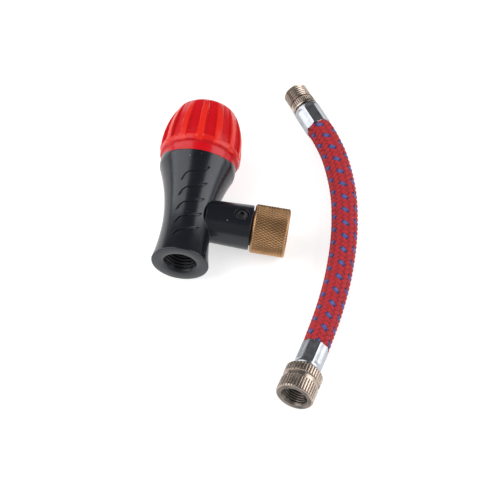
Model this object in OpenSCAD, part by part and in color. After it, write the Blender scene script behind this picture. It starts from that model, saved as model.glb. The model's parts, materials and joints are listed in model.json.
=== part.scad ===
// Portable tire inflator: a cartridge head with a twist valve and a swivelling
// valve chuck, and a short braided extension hose with a swivel nut.
// The head lies on its side, on its foot, its knob and its chuck, and the hose
// lies beside it.  Millimetres, +Z up, the surface under both at z = 0.
// The head's own modules are drawn upright: its axis on +Z with the foot at 0,
// its branch along +X and its grooved front facing -Y.

/* [Head body] */
// Radius of the foot, round the cartridge socket
foot_r = 8.5; // [8:0.1:9.5]
// Bevel on the foot's edge
foot_bevel = 0.3; // [0.2:0.1:0.5]
// Radius of the waist
waist_r = 7.28; // [7:0.01:8]
// Height of the waist above the foot
waist_z = 12.5; // [10:0.5:14]
// Radius of the body's top edge, under the knob
top_r = 11.45; // [11:0.05:11.7]
// Bevel on the top edge
top_bevel = 0.4; // [0.2:0.1:0.6]
// Height of the body without its neck
body_h = 33.2; // [32:0.1:35]
// Height of the neck that stands up inside the knob
neck_h = 2.2; // [1.5:0.1:2.6]
// Wall of the neck, round the gland nut's hexagon
neck_wall = 1.3; // [1:0.1:1.8]

/* [Branch] */
// Height of the branch's axis above the foot
branch_z = 16.3; // [16:0.1:17.5]
// Length of the branch from the head's axis
branch_len = 18.6; // [18:0.1:22]
// Radius of the branch at its open end
branch_r = 6.66; // [6.4:0.02:7]
// Radius that the branch's taper would have on the head's axis
branch_root_r = 6.0; // [5.8:0.1:6.4]
// Bevel on the branch's open end
branch_bevel = 0.3; // [0.1:0.1:0.5]

/* [Grip leaves] */
// Number of leaf-shaped recesses on each side
leaf_count = 5; // [3:1:5]
// Height of the lowest leaf's middle
leaf_first = 7.05; // [6.5:0.05:8]
// Distance from leaf to leaf
leaf_pitch = 4.88; // [4.4:0.02:5]
// Length of a leaf
leaf_len = 9.3; // [8:0.1:9.6]
// Tilt of a leaf
leaf_tilt = 34; // [25:1:40]
// Width of each of a leaf's two lobes
leaf_lobe = 1.25; // [0.8:0.05:1.5]
// Rise of a leaf's middle above the line through its tips
leaf_bow = 0.55; // [0.3:0.05:0.8]
// Width of a leaf at its tips and its neck
leaf_line = 0.2; // [0.1:0.05:0.4]
// Depth of the recesses
leaf_depth = 0.25; // [0.15:0.05:0.4]

/* [Cartridge socket] */
// Radius inside the cartridge thread
socket_r = 4.35; // [4.2:0.05:4.5]
// Radius at the mouth of the lead-in bevel
socket_mouth_r = 5.1; // [4.9:0.1:5.4]
// Depth of the socket
socket_depth = 10.3; // [9.5:0.1:10.5]
// Radius of the needle holder's thread
holder_r = 3.95; // [3.8:0.05:4]
// Length of the needle holder
holder_len = 3; // [2.6:0.1:3]
// Outside radius of the piercing needle
needle_r = 1.1; // [0.9:0.1:1.2]
// Bore radius of the piercing needle
needle_bore_r = 0.4; // [0.3:0.05:0.5]
// Length of the needle in front of its holder
needle_len = 4.7; // [4.4:0.1:5.2]
// Thickness of the seal that the cartridge presses on
cartridge_seal_t = 1.4; // [1:0.1:1.8]

/* [Twist valve] */
// Radius of the valve chamber
chamber_r = 3; // [2.9:0.05:3.2]
// Height of the valve seat above the foot
seat_z = 14.6; // [14.5:0.1:14.8]
// Height of the seat above the chamber's floor
seat_h = 0.5; // [0.3:0.1:0.7]
// Radius of the hole through the seat
seat_hole_r = 0.75; // [0.5:0.05:0.9]
// Radius of the valve washer
washer_r = 2.2; // [2:0.05:2.3]
// Thickness of the valve washer
washer_t = 0.95; // [0.7:0.05:1.1]
// Distance from the valve carrier to the spindle's sealing ring
spindle_seal_rise = 3; // [2:0.1:3.4]
// Radius of the carrier that holds the valve washer
carrier_r = 2.7; // [2.6:0.05:2.75]
// Radius of the spindle below its thread
stem_r = 2.4; // [2.3:0.05:2.5]
// Radius of the spindle's thread
spindle_thread_r = 3; // [2.8:0.05:3.1]
// Corner radius of the spindle's hexagonal head
spindle_hex_r = 3.4; // [3.2:0.1:3.8]
// Length of the spindle's hexagonal head
spindle_hex_len = 7; // [5:0.5:8]
// Radius of the gland nut's thread
gland_r = 6; // [5.8:0.1:6.2]
// Length of the gland nut's thread
gland_len = 7.2; // [6.5:0.1:7.4]
// Thickness of the gland nut's hexagon
gland_hex_t = 3; // [2:0.1:3.2]
// Distance from the gland nut to the knob's hub
hub_rise = 5; // [4.8:0.1:6]
// Lift of the knob per turn
thread_pitch = 1; // [0.8:0.1:1.2]
// Largest turn of the knob in degrees
knob_turn_max = 270; // [180:10:300]

/* [Knob] */
// Radius of the knob's rim, which the head lies on
rim_r = 12.15; // [12:0.05:12.5]
// Height of the rim above the knob's lower edge
rim_rise = 2.4; // [2:0.1:3]
// Width of the rim's band
rim_band = 0.8; // [0.5:0.1:1]
// Radius of the knob's lower edge
skirt_r = 11.55; // [11.3:0.05:11.7]
// Radius over the ribs
rib_r = 12.32; // [12.2:0.02:12.6]
// Depth of the flutes between the ribs
flute_depth = 0.9; // [0.6:0.05:1]
// Number of ribs
rib_count = 14; // [10:1:18]
// Width of a rib
rib_w = 1.8; // [1.2:0.1:2.2]
// Angle of the first rib from the front
rib_phase = 3; // [0:1:25]
// Height of the knob's crown above the body
knob_h = 21.7; // [20:0.1:23]
// Height above the body at which the ribs start to lean in
knob_lean_h = 6.8; // [5:0.1:8.6]
// Radius of the arc that the ribs lean in along
knob_lean_r = 28.9; // [26:0.1:34]
// Radius of the knob's top corner
knob_corner_r = 4.5; // [3:0.1:5]
// Wall of the knob
knob_wall = 1.5; // [1.2:0.1:1.8]
// Outside radius of the hub that holds the spindle
hub_r = 5; // [4.6:0.1:6]

/* [Valve chuck] */
// Outside radius of the chuck
chuck_r = 7.34; // [7:0.02:7.6]
// Length of the chuck outside the branch
chuck_len = 10.55; // [10:0.05:12]
// Gap between the branch and the chuck
chuck_gap = 0.6; // [0.3:0.1:1]
// Bevel on the chuck's edges
chuck_bevel = 0.5; // [0.3:0.1:0.7]
// Radius inside a tire valve's cap thread
valve_thread_r = 3.5; // [3.45:0.05:3.55]
// Depth of the relief behind each inside thread
thread_relief = 0.3; // [0.2:0.02:0.4]
// Radius at the mouth of a valve thread's lead-in
valve_mouth_r = 3.9; // [3.8:0.05:4]
// Depth inside the chuck
chuck_depth = 7; // [6.5:0.1:7.2]
// Radius of the spigot that turns in the branch
spigot_r = 3.8; // [3.6:0.05:3.8]
// Length of the spigot
spigot_len = 10.6; // [10:0.1:10.8]
// Radius of the gas passage through the spigot
passage_r = 1; // [0.8:0.1:1.2]
// Section radius of the spigot's sealing rings
spigot_ring_r = 0.6; // [0.5:0.05:0.65]
// Distance from the spigot's end to its first sealing ring's groove
spigot_ring_inset = 1.2; // [0.8:0.1:1.2]
// Distance from the first sealing ring to the second
spigot_ring_pitch = 2; // [1.8:0.05:2.1]
// Length of the chuck's core pin in front of its washer
core_pin_len = 1.4; // [1.2:0.1:2]
// Radius of the pins that open a valve's core, here and in the hose
pin_r = 0.7; // [0.5:0.05:0.75]
// Distance from the branch's open end to the set screw's axis
screw_inset = 3; // [2.9:0.1:3.2]
// Radius of the set screw
screw_r = 1.95; // [1.9:0.05:2]
// Radius of the set screw's dog point
screw_dog_r = 0.9; // [0.8:0.05:1]

/* [Hose] */
// Outside radius of the braided hose
hose_r = 4; // [3.9:0.05:4]
// Wall of the braid
braid_wall = 0.55; // [0.5:0.05:0.7]
// Wall of the rubber liner
liner_wall = 1.1; // [0.9:0.05:1.1]
// Radius of the ferrules where they are round
ferrule_r = 4.12; // [4.1:0.02:4.2]
// Half the width across the ferrules' eight crimped flats
ferrule_flat_r = 3.86; // [3.84:0.01:3.87]
// Length of a ferrule
ferrule_len = 8.6; // [8:0.1:9]
// Length of a ferrule's round end, which isn't crimped
ferrule_round = 1.3; // [1:0.1:2]
// Radius of the hose's male thread
male_thread_r = 3.85; // [3.8:0.05:3.9]
// Length of the hose's male thread
male_thread_len = 4.9; // [4:0.1:6]
// Radius of the male end's knurled collar
collar_r = 3.97; // [3.9:0.01:4]
// Length of the knurled collar
collar_len = 2.7; // [2:0.1:3.5]
// Radius of the coupling nut
nut_r = 5.57; // [5.4:0.01:5.8]
// Length of the coupling nut
nut_len = 9.5; // [9.3:0.1:10]
// Depth inside the coupling nut
nut_depth = 7.9; // [7.6:0.1:8]
// Number of grip grooves round the coupling nut
nut_groove_count = 15; // [12:1:18]
// Number of grip grooves round the knurled collar
collar_groove_count = 12; // [10:1:14]
// Depth of the grip grooves
grip_depth = 0.3; // [0.2:0.05:0.3]
// Depth of the ring groove between the nut's two bands
nut_ring_depth = 0.4; // [0.35:0.05:0.5]
// Length of the hose's own pin in front of its tail
depressor_len = 2.4; // [2.2:0.1:3]

/* [Hidden] */
$fn = 64;

cut = 0.01;            // how far a cutting solid runs past a face
run_fit = 0.05;        // radial clearance of a part that turns or screws
seat_gap = 0.3;        // gap between parts that move past each other
soft_gap = 0.08;       // radial clearance round a sealing ring
crimp_gap = 0.06;      // clearance of the liner inside a ferrule
thread_end_gap = 0.25;  // distance from an inside thread's end to the needle or pin behind it
groove_slack = 0.1;    // how much wider a ring's groove is than its ring
small_bevel = 0.2;     // bevel on small turned edges
overlap = 1;           // how far two solids of one piece run into each other
ring_section_r = 0.5;  // section radius of the spindle's and the gland's sealing rings
side_steps = 24;       // steps along the body's curved side
arc_steps = 10;        // steps along each arc of the knob's outline
leaf_steps = 16;       // steps along each edge of a leaf
hose_sides = 12;       // sides of the hose

// Body outline: two parabolas that meet at the waist.
function waist_curve(z) = z < waist_z
    ? waist_r + (foot_r - waist_r) * pow((waist_z - z) / (waist_z - foot_bevel), 2)
    : waist_r + (top_r - waist_r) * pow((z - waist_z) / (body_h - top_bevel - waist_z), 2);
function body_outline(inset) = concat(
    [[0, 0], [foot_r - foot_bevel - inset, 0]],
    [for (i = [0 : side_steps])
        let (z = foot_bevel + (body_h - top_bevel - foot_bevel) * i / side_steps)
        [waist_curve(z) - inset, z]],
    [[top_r - top_bevel - inset, body_h], [0, body_h]]);

// A leaf: a bowed line whose left half swells upwards and right half downwards.
leaf_half = leaf_len / 2;
function leaf_middle(u) = leaf_bow * cos(90 * u / leaf_half);
function leaf_swell(u) = leaf_lobe * pow(abs(sin(180 * u / leaf_half)), 0.6);
leaf_u = [for (i = [0 : 2 * leaf_steps]) leaf_half * (i / leaf_steps - 1)];
leaf_outline = concat(
    [for (u = leaf_u)
        [u, leaf_middle(u) + leaf_line / 2 + (u < 0 ? leaf_swell(u) : 0)]],
    [for (i = [len(leaf_u) - 1 : -1 : 0]) let (u = leaf_u[i])
        [u, leaf_middle(u) - leaf_line / 2 - (u > 0 ? leaf_swell(u) : 0)]]);

// Heights along the head's axis.
holder_z = socket_depth;
driver_slot = [0.8, 0.7];    // width and depth of the needle holder's slot
needle_tip_z = holder_z - needle_len;
socket_thread_z = needle_tip_z - thread_end_gap;
needle_point_len = 2;
needle_edge = 0.15;          // wall at the needle's very point
seat_wall = 0.75;
chamber_floor_z = seat_z - seat_h;
washer_z = seat_z;
carrier_z = seat_z + seat_gap;
carrier_web = 0.4;           // wall between the washer and the spindle's button
carrier_lip = 0.7;           // wall over the button
carrier_pocket_z = washer_z + washer_t + carrier_web;
spindle_button = [1.5, 0.9]; // radius and height
spindle_neck_r = 1.1;
carrier_top_z = carrier_pocket_z + spindle_button[1] + carrier_lip;
gland_z = body_h - gland_len;
gland_seal_z = gland_z - 2 * ring_section_r;
ring_groove_z = carrier_top_z + spindle_seal_rise;
ring_groove_depth = 0.5;
lift_max = thread_pitch * knob_turn_max / 360;
stop_ring_t = 0.6;
stop_groove_depth = 0.4;
// the stop ring meets the gland nut just past the knob's largest turn
stop_groove_z = gland_z - lift_max - seat_gap - stop_ring_t - groove_slack;
thread_start_z = gland_z - overlap;
hub_z = body_h + gland_hex_t + hub_rise;
hub_collar = [hub_r - 0.6, 1.2]; // radius and thickness of the spindle's collar
knob_top_z = body_h + knob_h;
knob_lean_z = body_h + knob_lean_h;
skirt_z = body_h + seat_gap;
rim_z = skirt_z + rim_rise;

// Knob outline over the ribs: an upright side, an arc that leans in and a
// corner arc that is tangent to it.
lean_x = rib_r - knob_lean_r;
corner_z = knob_top_z - knob_corner_r;
corner_x = lean_x + sqrt(pow(knob_lean_r - knob_corner_r, 2) - pow(corner_z - knob_lean_z, 2));
join_angle = asin((corner_z - knob_lean_z) / (knob_lean_r - knob_corner_r));
function knob_arcs(inset) = concat(
    [for (i = [0 : arc_steps]) let (a = join_angle * i / arc_steps)
        [lean_x + (knob_lean_r - inset) * cos(a), knob_lean_z + (knob_lean_r - inset) * sin(a)]],
    [for (i = [1 : arc_steps]) let (a = join_angle + (90 - join_angle) * i / arc_steps)
        [corner_x + (knob_corner_r - inset) * cos(a), corner_z + (knob_corner_r - inset) * sin(a)]]);
rib_foot_z = rim_z + rim_band;
skirt_outline = [[0, skirt_z], [skirt_r, skirt_z], [rim_r, rim_z], [rim_r, rib_foot_z]];
rib_outline = concat([[0, rib_foot_z], [rim_r, rib_foot_z], [rib_r, rib_foot_z + flute_depth]],
    knob_arcs(0), [[0, knob_top_z]]);
// The flutes run out just past the corner's start, so the crown is smooth.
flute_end_z = corner_z + 1;
function flute_fade(z) = z < corner_z - knob_corner_r ? 1
    : max(0, (flute_end_z - z) / (flute_end_z - corner_z + knob_corner_r));
flute_outline = concat([[0, rib_foot_z], [rim_r, rib_foot_z],
    [rib_r - flute_depth, rib_foot_z + flute_depth]],
    [for (p = knob_arcs(0)) [p[0] - flute_depth * flute_fade(p[1]), p[1]]],
    [[0, knob_top_z]]);
cavity_wall = flute_depth + knob_wall;
cavity_r = rib_r - cavity_wall;
cavity_outline = concat([[0, skirt_z - cut], [cavity_r, skirt_z - cut]],
    knob_arcs(cavity_wall), [[0, knob_top_z - cavity_wall]]);
// The neck stands inside the knob, round the gland nut's hexagon.
neck_r = cavity_r - seat_gap;
gland_hex_r = neck_r - neck_wall - seat_gap;

// Distances along the branch, from the head's axis.
branch_bore_r = spigot_r + run_fit;
chuck_x = branch_len + chuck_gap;
chuck_end_x = chuck_x + chuck_len;
spigot_x = chuck_x - spigot_len;
spigot_end_gap = 1;          // free depth behind the spigot
branch_bore_x = spigot_x - spigot_end_gap;
screw_x = branch_len - screw_inset;
screw_sink = 0.5;            // how far the set screw lies below the branch's surface
screw_key = [2, 1.2];        // width across flats and depth of its hexagonal socket
screw_groove_depth = 0.8;
screw_groove_r = spigot_r - screw_groove_depth;
screw_top = branch_r - screw_sink;
screw_dog_z = screw_groove_r + run_fit;
screw_body_z = spigot_r + seat_gap;
spigot_ring_grooves = [for (i = [0, 1]) spigot_x + spigot_ring_inset + i * spigot_ring_pitch];
spigot_groove_w = 2 * (spigot_ring_r + groove_slack);
spigot_groove_r = spigot_r - 2 * spigot_ring_r - run_fit;
chuck_floor_x = chuck_end_x - chuck_depth;
chuck_thread_x = chuck_floor_x + core_pin_len + thread_end_gap;
chuck_washer_t = 1;
chuck_washer_r = valve_mouth_r;
core_pin_disc = [2.6, 0.6];  // radius and thickness
core_pin_hole_r = 1.7;
gas_hole = [0.4, 1.2];       // radius, and distance from the pin's axis
disc_x = chuck_floor_x - chuck_washer_t - core_pin_disc[1];

// Distances along each end of the hose, from its open end.
male_bevel = [0.3, 0.6];     // depth and length of the lead-in
relief_len = 0.4;
relief_depth = 0.4;
relief_r = male_thread_r - relief_depth;
collar_x = male_thread_len + relief_len;
male_ferrule_x = collar_x + collar_len + seat_gap;
barb_depth = 0.2;
barb_pitch = 2.2;
barb_len = 0.6;
barb_count = 3;
shank_r = hose_r - braid_wall - liner_wall - barb_depth;
shank_end_gap = 1;           // how much shorter the shank is than the ferrule
shank_len = ferrule_len - shank_end_gap;
shoulder_rise = 0.7;
shoulder_r = shank_r + shoulder_rise;
ferrule_wall_t = 0.7;
liner_r = hose_r - braid_wall - run_fit;
ferrule_bore_r = liner_r + crimp_gap;
hose_passage_r = 1.2;
nut_bevel = 0.4;
nut_rear_bevel = 0.9;
nut_lip = 1.3;               // plain lip in front of the nut's grip grooves
nut_ring_w = 1.5;            // width of the ring groove between the nut's two bands
nut_ring_x = 0.58 * nut_len;  // where that groove starts
collar_rim = 0.8;            // plain rim behind the collar's grip grooves
pin_cross = [0.5, 2.5];      // thickness and depth of the cross that holds the hose's pin
tail_flange_r = valve_thread_r - crimp_gap;
tail_flange_t = 1;
tail_flange_x = nut_depth - tail_flange_t - run_fit;
nut_thread_end_x = tail_flange_x - depressor_len - thread_end_gap;
tail_washer_t = 1.2;
tail_neck_r = shoulder_r - run_fit;
female_ferrule_x = nut_len + seat_gap;

// Where the hose's open ends lie, which way each end points into the hose, and
// the points that its middle runs through between the two ferrules.
male_end = [15.2, 48.5, ferrule_r + 0.02];
male_turn = -56.4;
female_end = [29.9, -67, nut_r];
female_turn = 77.7;
male_axis = [cos(male_turn), sin(male_turn), 0];
female_axis = [cos(female_turn), sin(female_turn), 0];
route_start = male_end + male_axis * (male_ferrule_x + ferrule_len);
route_end = female_end + female_axis * (female_ferrule_x + ferrule_len);
hose_points = [
    [26.4, 31.9, 4.05], [29.8, 25.6, 4.05], [32.2, 19.5, 4.05], [34.1, 13.3, 4.05],
    [35.5, 7.2, 4.05], [36.4, 1, 4.05], [37, -5.1, 4.05], [37.3, -11.2, 4.05],
    [37.3, -17.2, 4.05], [37.1, -23.2, 4.05], [36.6, -29.2, 4.05], [35.9, -35.3, 4.2],
    [35.1, -41, 4.75], [34.4, -45.6, 5.4]];
hose_route = concat([route_start], hose_points, [route_end]);
liner_start = male_end + male_axis * (male_ferrule_x + ferrule_wall_t + run_fit);
liner_end = female_end + female_axis * (female_ferrule_x + ferrule_wall_t + run_fit);

// Resting pose of the head on three circles: the foot's edge, the knob's rim
// and the chuck's outer edge.
pitch = atan((rim_r - foot_r) / (rim_z - foot_bevel));
axis_z = foot_r * cos(pitch) - foot_bevel * sin(pitch);
chuck_edge_x = chuck_end_x - chuck_bevel;
branch_height = sin(pitch) * branch_z + axis_z;
branch_dip = asin(branch_height / norm([chuck_edge_x, chuck_r])) - atan2(chuck_r, chuck_edge_x);
roll = asin(sin(branch_dip) / cos(pitch));

// Middle of the head's footprint, which becomes the origin.
low_x = -rib_r;
high_x = chuck_end_x * cos(roll) + (chuck_r - chuck_bevel) * sin(roll);
low_y = -(foot_r - foot_bevel) * sin(pitch);
high_y = corner_z * cos(pitch) + corner_x * sin(pitch) + knob_corner_r;
middle = [(low_x + high_x) / 2, (low_y + high_y) / 2, 0];

module lay_head()
    translate([0, 0, axis_z] - middle)
        rotate([pitch, 0, 0])
            rotate([0, roll, 0])
                rotate([-90, 0, 0])
                    children();
module on_branch() translate([0, 0, branch_z]) rotate([0, 90, 0]) children();
module at_male() translate(male_end) rotate([0, 0, male_turn]) rotate([0, 90, 0]) children();
module at_female() translate(female_end) rotate([0, 0, female_turn]) rotate([0, 90, 0]) children();

// A ring of the given outside and inside radius that starts at a height.
module tube(outer, inner, h, z = 0)
    translate([0, 0, z]) difference() {
        cylinder(r = outer, h = h);
        translate([0, 0, -cut]) cylinder(r = inner, h = h + 2 * cut);
    }
module bore(r, from, to) translate([0, 0, from]) cylinder(r = r, h = to - from);
module sealing_ring(middle_r, section_r, z)
    translate([0, 0, z]) rotate_extrude() translate([middle_r, 0]) circle(r = section_r);
// A turned rod with both edges bevelled.
module turned(r, from, to, bevel)
    rotate_extrude() polygon([[0, from], [r - bevel, from], [r, from + bevel],
        [r, to - bevel], [r - bevel, to], [0, to]]);

// V-shaped grip grooves along a turned part.
module grip_grooves(r, from, to, count)
    for (i = [0 : count - 1])
        rotate(360 * i / count) translate([r, 0, from]) linear_extrude(to - from)
            rotate(45) square(grip_depth * sqrt(2), center = true);

// Head body
module branch_solid()
    on_branch() {
        cylinder(r1 = branch_root_r, r2 = branch_r, h = branch_len - branch_bevel);
        translate([0, 0, branch_len - branch_bevel])
            cylinder(r1 = branch_r, r2 = branch_r - branch_bevel, h = branch_bevel);
    }
module leaf_row()
    for (i = [0 : leaf_count - 1])
        translate([0, 0, leaf_first + i * leaf_pitch])
            rotate([90, 0, 0]) linear_extrude(top_r + overlap) rotate(leaf_tilt)
                polygon(leaf_outline);
module leaf_recesses()
    difference() {
        union() {
            leaf_row();
            mirror([0, 1, 0]) leaf_row();
        }
        rotate_extrude() polygon(body_outline(leaf_depth));
        branch_solid();
    }
module body() color("#2b2c30")
    lay_head() difference() {
        union() {
            rotate_extrude() polygon(body_outline(0));
            tube(neck_r, gland_hex_r + seat_gap, neck_h + cut, body_h - cut);
            branch_solid();
        }
        leaf_recesses();
        // cartridge socket with its lead-in, the needle holder's bore and the seat
        bore(socket_r, -cut, socket_depth);
        bore(socket_r + thread_relief, socket_thread_z, socket_depth);
        translate([0, 0, -cut])
            cylinder(r1 = socket_mouth_r, r2 = socket_r, h = socket_mouth_r - socket_r);
        bore(holder_r + run_fit, holder_z - cut, holder_z + holder_len + seat_gap);
        bore(seat_hole_r, holder_z, seat_z + cut);
        tube(chamber_r, seat_hole_r + seat_wall, seat_h + cut, chamber_floor_z);
        bore(chamber_r, seat_z, gland_seal_z + cut);
        bore(gland_r + run_fit, gland_seal_z, body_h + cut);
        // port and bore of the branch, and the set screw's hole
        on_branch() {
            bore(passage_r, chamber_r - overlap, branch_bore_x + cut);
            bore(branch_bore_r, branch_bore_x, branch_len + cut);
        }
        translate([screw_x, 0, branch_z]) rotate([90, 0, 0])
            bore(screw_r + run_fit, 0, branch_r + overlap);
    }
module needle_holder() color("#b08d57")
    lay_head() difference() {
        tube(holder_r, needle_r, holder_len, holder_z);
        // slot for the driver that screws it in
        translate([-holder_r, -driver_slot[0] / 2, holder_z - cut])
            cube([2 * holder_r, driver_slot[0], driver_slot[1]]);
    }
module piercing_needle() color("#c8ccd0")
    lay_head() difference() {
        union() {
            bore(needle_r, needle_tip_z + needle_point_len, holder_z + holder_len);
            translate([0, 0, needle_tip_z])
                cylinder(r1 = needle_bore_r + needle_edge, r2 = needle_r, h = needle_point_len);
        }
        bore(needle_bore_r, needle_tip_z - cut, holder_z + holder_len + cut);
    }
module cartridge_seal() color("#1c1c1c")
    lay_head() tube(holder_r, needle_r + run_fit, cartridge_seal_t, holder_z - cartridge_seal_t);
module set_screw() color("#3a3b3f")
    lay_head() translate([screw_x, 0, branch_z]) rotate([90, 0, 0]) difference() {
        union() {
            turned(screw_r, screw_body_z, screw_top, small_bevel);
            bore(screw_dog_r, screw_dog_z, screw_body_z + small_bevel);
        }
        // hexagonal socket for a key
        translate([0, 0, screw_top - screw_key[1]])
            cylinder(r = screw_key[0] / sqrt(3), h = screw_key[1] + cut, $fn = 6);
    }

// Twist valve
module gland_nut() color("#b08d57")
    lay_head() difference() {
        union() {
            bore(gland_r, gland_z, body_h + cut);
            translate([0, 0, body_h]) cylinder(r = gland_hex_r, h = gland_hex_t, $fn = 6);
        }
        bore(spindle_thread_r + run_fit, gland_z - cut, body_h + gland_hex_t + cut);
    }
module gland_seal() color("#1c1c1c")
    lay_head() sealing_ring(gland_r - ring_section_r - soft_gap, ring_section_r,
        gland_seal_z + ring_section_r);
module valve_carrier() color("#b08d57")
    lay_head() difference() {
        bore(carrier_r, carrier_z, carrier_top_z);
        bore(washer_r + run_fit, carrier_z - cut, washer_z + washer_t);
        bore(spindle_button[0] + run_fit, carrier_pocket_z,
            carrier_pocket_z + spindle_button[1] + run_fit);
        bore(spindle_neck_r + run_fit, carrier_pocket_z, carrier_top_z + cut);
    }
module valve_washer() color("#1c1c1c")
    lay_head() bore(washer_r, washer_z, washer_z + washer_t);
module spindle() color("#c8ccd0")
    lay_head() difference() {
        union() {
            bore(spindle_button[0], carrier_pocket_z, carrier_pocket_z + spindle_button[1]);
            bore(spindle_neck_r, carrier_pocket_z, carrier_top_z + seat_gap + cut);
            bore(stem_r, carrier_top_z + seat_gap, thread_start_z + cut);
            bore(spindle_thread_r, thread_start_z, hub_z + cut);
            bore(hub_collar[0], hub_z - hub_collar[1], hub_z);
            translate([0, 0, hub_z]) cylinder(r = spindle_hex_r, h = spindle_hex_len, $fn = 6);
        }
        tube(chamber_r, stem_r - ring_groove_depth, 2 * ring_section_r + groove_slack,
            ring_groove_z);
        tube(chamber_r, stem_r - stop_groove_depth, stop_ring_t + groove_slack, stop_groove_z);
    }
module spindle_seal() color("#1c1c1c")
    lay_head() sealing_ring(chamber_r - ring_section_r - run_fit, ring_section_r,
        ring_groove_z + ring_section_r + groove_slack / 2);
module stop_ring() color("#c8ccd0")
    lay_head() tube(chamber_r - 2 * run_fit, stem_r - stop_groove_depth + run_fit, stop_ring_t,
        stop_groove_z + groove_slack / 2);

// Knob: a fluted shell with a hub on the spindle's hexagon.
module rib_slabs()
    for (i = [0 : rib_count - 1])
        rotate(-90 - rib_phase + 360 * i / rib_count)
            translate([0, -rib_w / 2, 0]) cube([rib_r + overlap, rib_w, knob_top_z + overlap]);
module knob() color("#cc1a1a")
    lay_head() difference() {
        union() {
            difference() {
                union() {
                    rotate_extrude() polygon(concat(skirt_outline, [[0, rib_foot_z]]));
                    rotate_extrude() polygon(flute_outline);
                    intersection() {
                        rotate_extrude() polygon(rib_outline);
                        rib_slabs();
                    }
                }
                rotate_extrude() polygon(cavity_outline);
            }
            bore(hub_r, hub_z, knob_top_z - knob_wall);
        }
        translate([0, 0, hub_z - cut])
            cylinder(r = spindle_hex_r + run_fit, h = spindle_hex_len + seat_gap, $fn = 6);
    }

// Valve chuck: a cup on a spigot that turns in the branch.
module chuck() color("#b8894a")
    lay_head() on_branch() difference() {
        union() {
            turned(chuck_r, chuck_x, chuck_end_x, chuck_bevel);
            bore(spigot_r, spigot_x, chuck_x + overlap);
        }
        bore(passage_r, spigot_x - cut, chuck_end_x);
        bore(valve_thread_r, chuck_floor_x, chuck_end_x + cut);
        bore(valve_thread_r + thread_relief, chuck_floor_x, chuck_thread_x);
        translate([0, 0, chuck_end_x - (valve_mouth_r - valve_thread_r)])
            cylinder(r1 = valve_thread_r, r2 = valve_mouth_r + cut,
                h = valve_mouth_r - valve_thread_r + cut);
        bore(chuck_washer_r + run_fit, chuck_floor_x - chuck_washer_t, chuck_floor_x);
        bore(core_pin_disc[0], disc_x, disc_x + core_pin_disc[1] + cut);
        for (x = spigot_ring_grooves)
            tube(branch_bore_r, spigot_groove_r, spigot_groove_w, x);
        tube(branch_bore_r, screw_groove_r, 2 * (screw_dog_r + run_fit),
            screw_x - screw_dog_r - run_fit);
    }
module chuck_seals() color("#1c1c1c")
    lay_head() on_branch()
        for (x = spigot_ring_grooves)
            sealing_ring(branch_bore_r - spigot_ring_r - soft_gap, spigot_ring_r,
                x + spigot_groove_w / 2);
module chuck_washer() color("#1c1c1c")
    lay_head() on_branch()
        tube(chuck_washer_r, core_pin_hole_r, chuck_washer_t, chuck_floor_x - chuck_washer_t);
// A disc with four gas holes and the pin that opens the valve's core.
module core_pin() color("#c8a45c")
    lay_head() on_branch() difference() {
        union() {
            bore(core_pin_disc[0], disc_x, disc_x + core_pin_disc[1]);
            bore(pin_r, disc_x, chuck_floor_x + core_pin_len);
        }
        for (a = [0 : 90 : 270])
            rotate(a) translate([gas_hole[1], 0, 0])
                bore(gas_hole[0], disc_x - cut, disc_x + core_pin_disc[1] + cut);
    }

// Hose: the braid and the liner are swept along the same rings.
function unit(v) = v / norm(v);
function route_way(route, i) =
    i == 0 ? male_axis
    : i == len(route) - 1 ? -female_axis
    : unit(route[i + 1] - route[i - 1]);
function ring_points(middle_point, way, r) =
    let (side = unit(cross(way, [0, 0, 1])), up = cross(side, way))
    [for (k = [0 : hose_sides - 1]) let (a = 360 * k / hose_sides)
        middle_point + r * (cos(a) * side + sin(a) * up)];
// Points of the outer rings first, then those of the inner rings.
function sweep_points(route, ways, outer, inner) = concat(
    [for (i = [0 : len(route) - 1]) each ring_points(route[i], ways[i], outer)],
    [for (i = [0 : len(route) - 1]) each ring_points(route[i], ways[i], inner)]);
function band(from_a, from_b, flip) = [for (k = [0 : hose_sides - 1])
    let (n = (k + 1) % hose_sides)
    each (flip
        ? [[from_a + k, from_b + k, from_b + n], [from_a + k, from_b + n, from_a + n]]
        : [[from_a + k, from_b + n, from_b + k], [from_a + k, from_a + n, from_b + n]])];
function sweep_faces(count) = let (inner = count * hose_sides) concat(
    [for (i = [0 : count - 2]) each band(i * hose_sides, (i + 1) * hose_sides, true)],
    [for (i = [0 : count - 2])
        each band(inner + i * hose_sides, inner + (i + 1) * hose_sides, false)],
    band(0, inner, false),
    band((count - 1) * hose_sides, inner + (count - 1) * hose_sides, true));
module swept(route, ways, outer, inner)
    polyhedron(points = sweep_points(route, ways, outer, inner), faces = sweep_faces(len(route)));
braid_ways = [for (i = [0 : len(hose_route) - 1]) route_way(hose_route, i)];
module hose_braid() color("#c22b34")
    swept(hose_route, braid_ways, hose_r, hose_r - braid_wall);
module hose_liner() color("#262626")
    swept(concat([liner_start], hose_route, [liner_end]),
        concat([male_axis], braid_ways, [-female_axis]), liner_r, liner_r - liner_wall);

// A ferrule: eight crimped flats, round at the end next to its fitting.
module ferrule(x)
    difference() {
        union() {
            intersection() {
                translate([0, 0, x]) rotate(180 / 8)
                    cylinder(r = ferrule_flat_r / cos(180 / 8), h = ferrule_len, $fn = 8);
                turned(ferrule_r, x, x + ferrule_len, small_bevel);
            }
            turned(ferrule_r, x, x + ferrule_round, small_bevel);
        }
        bore(ferrule_bore_r, x + ferrule_wall_t, x + ferrule_len + cut);
        bore(shoulder_r, x - cut, x + ferrule_wall_t + cut);
    }
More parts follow.
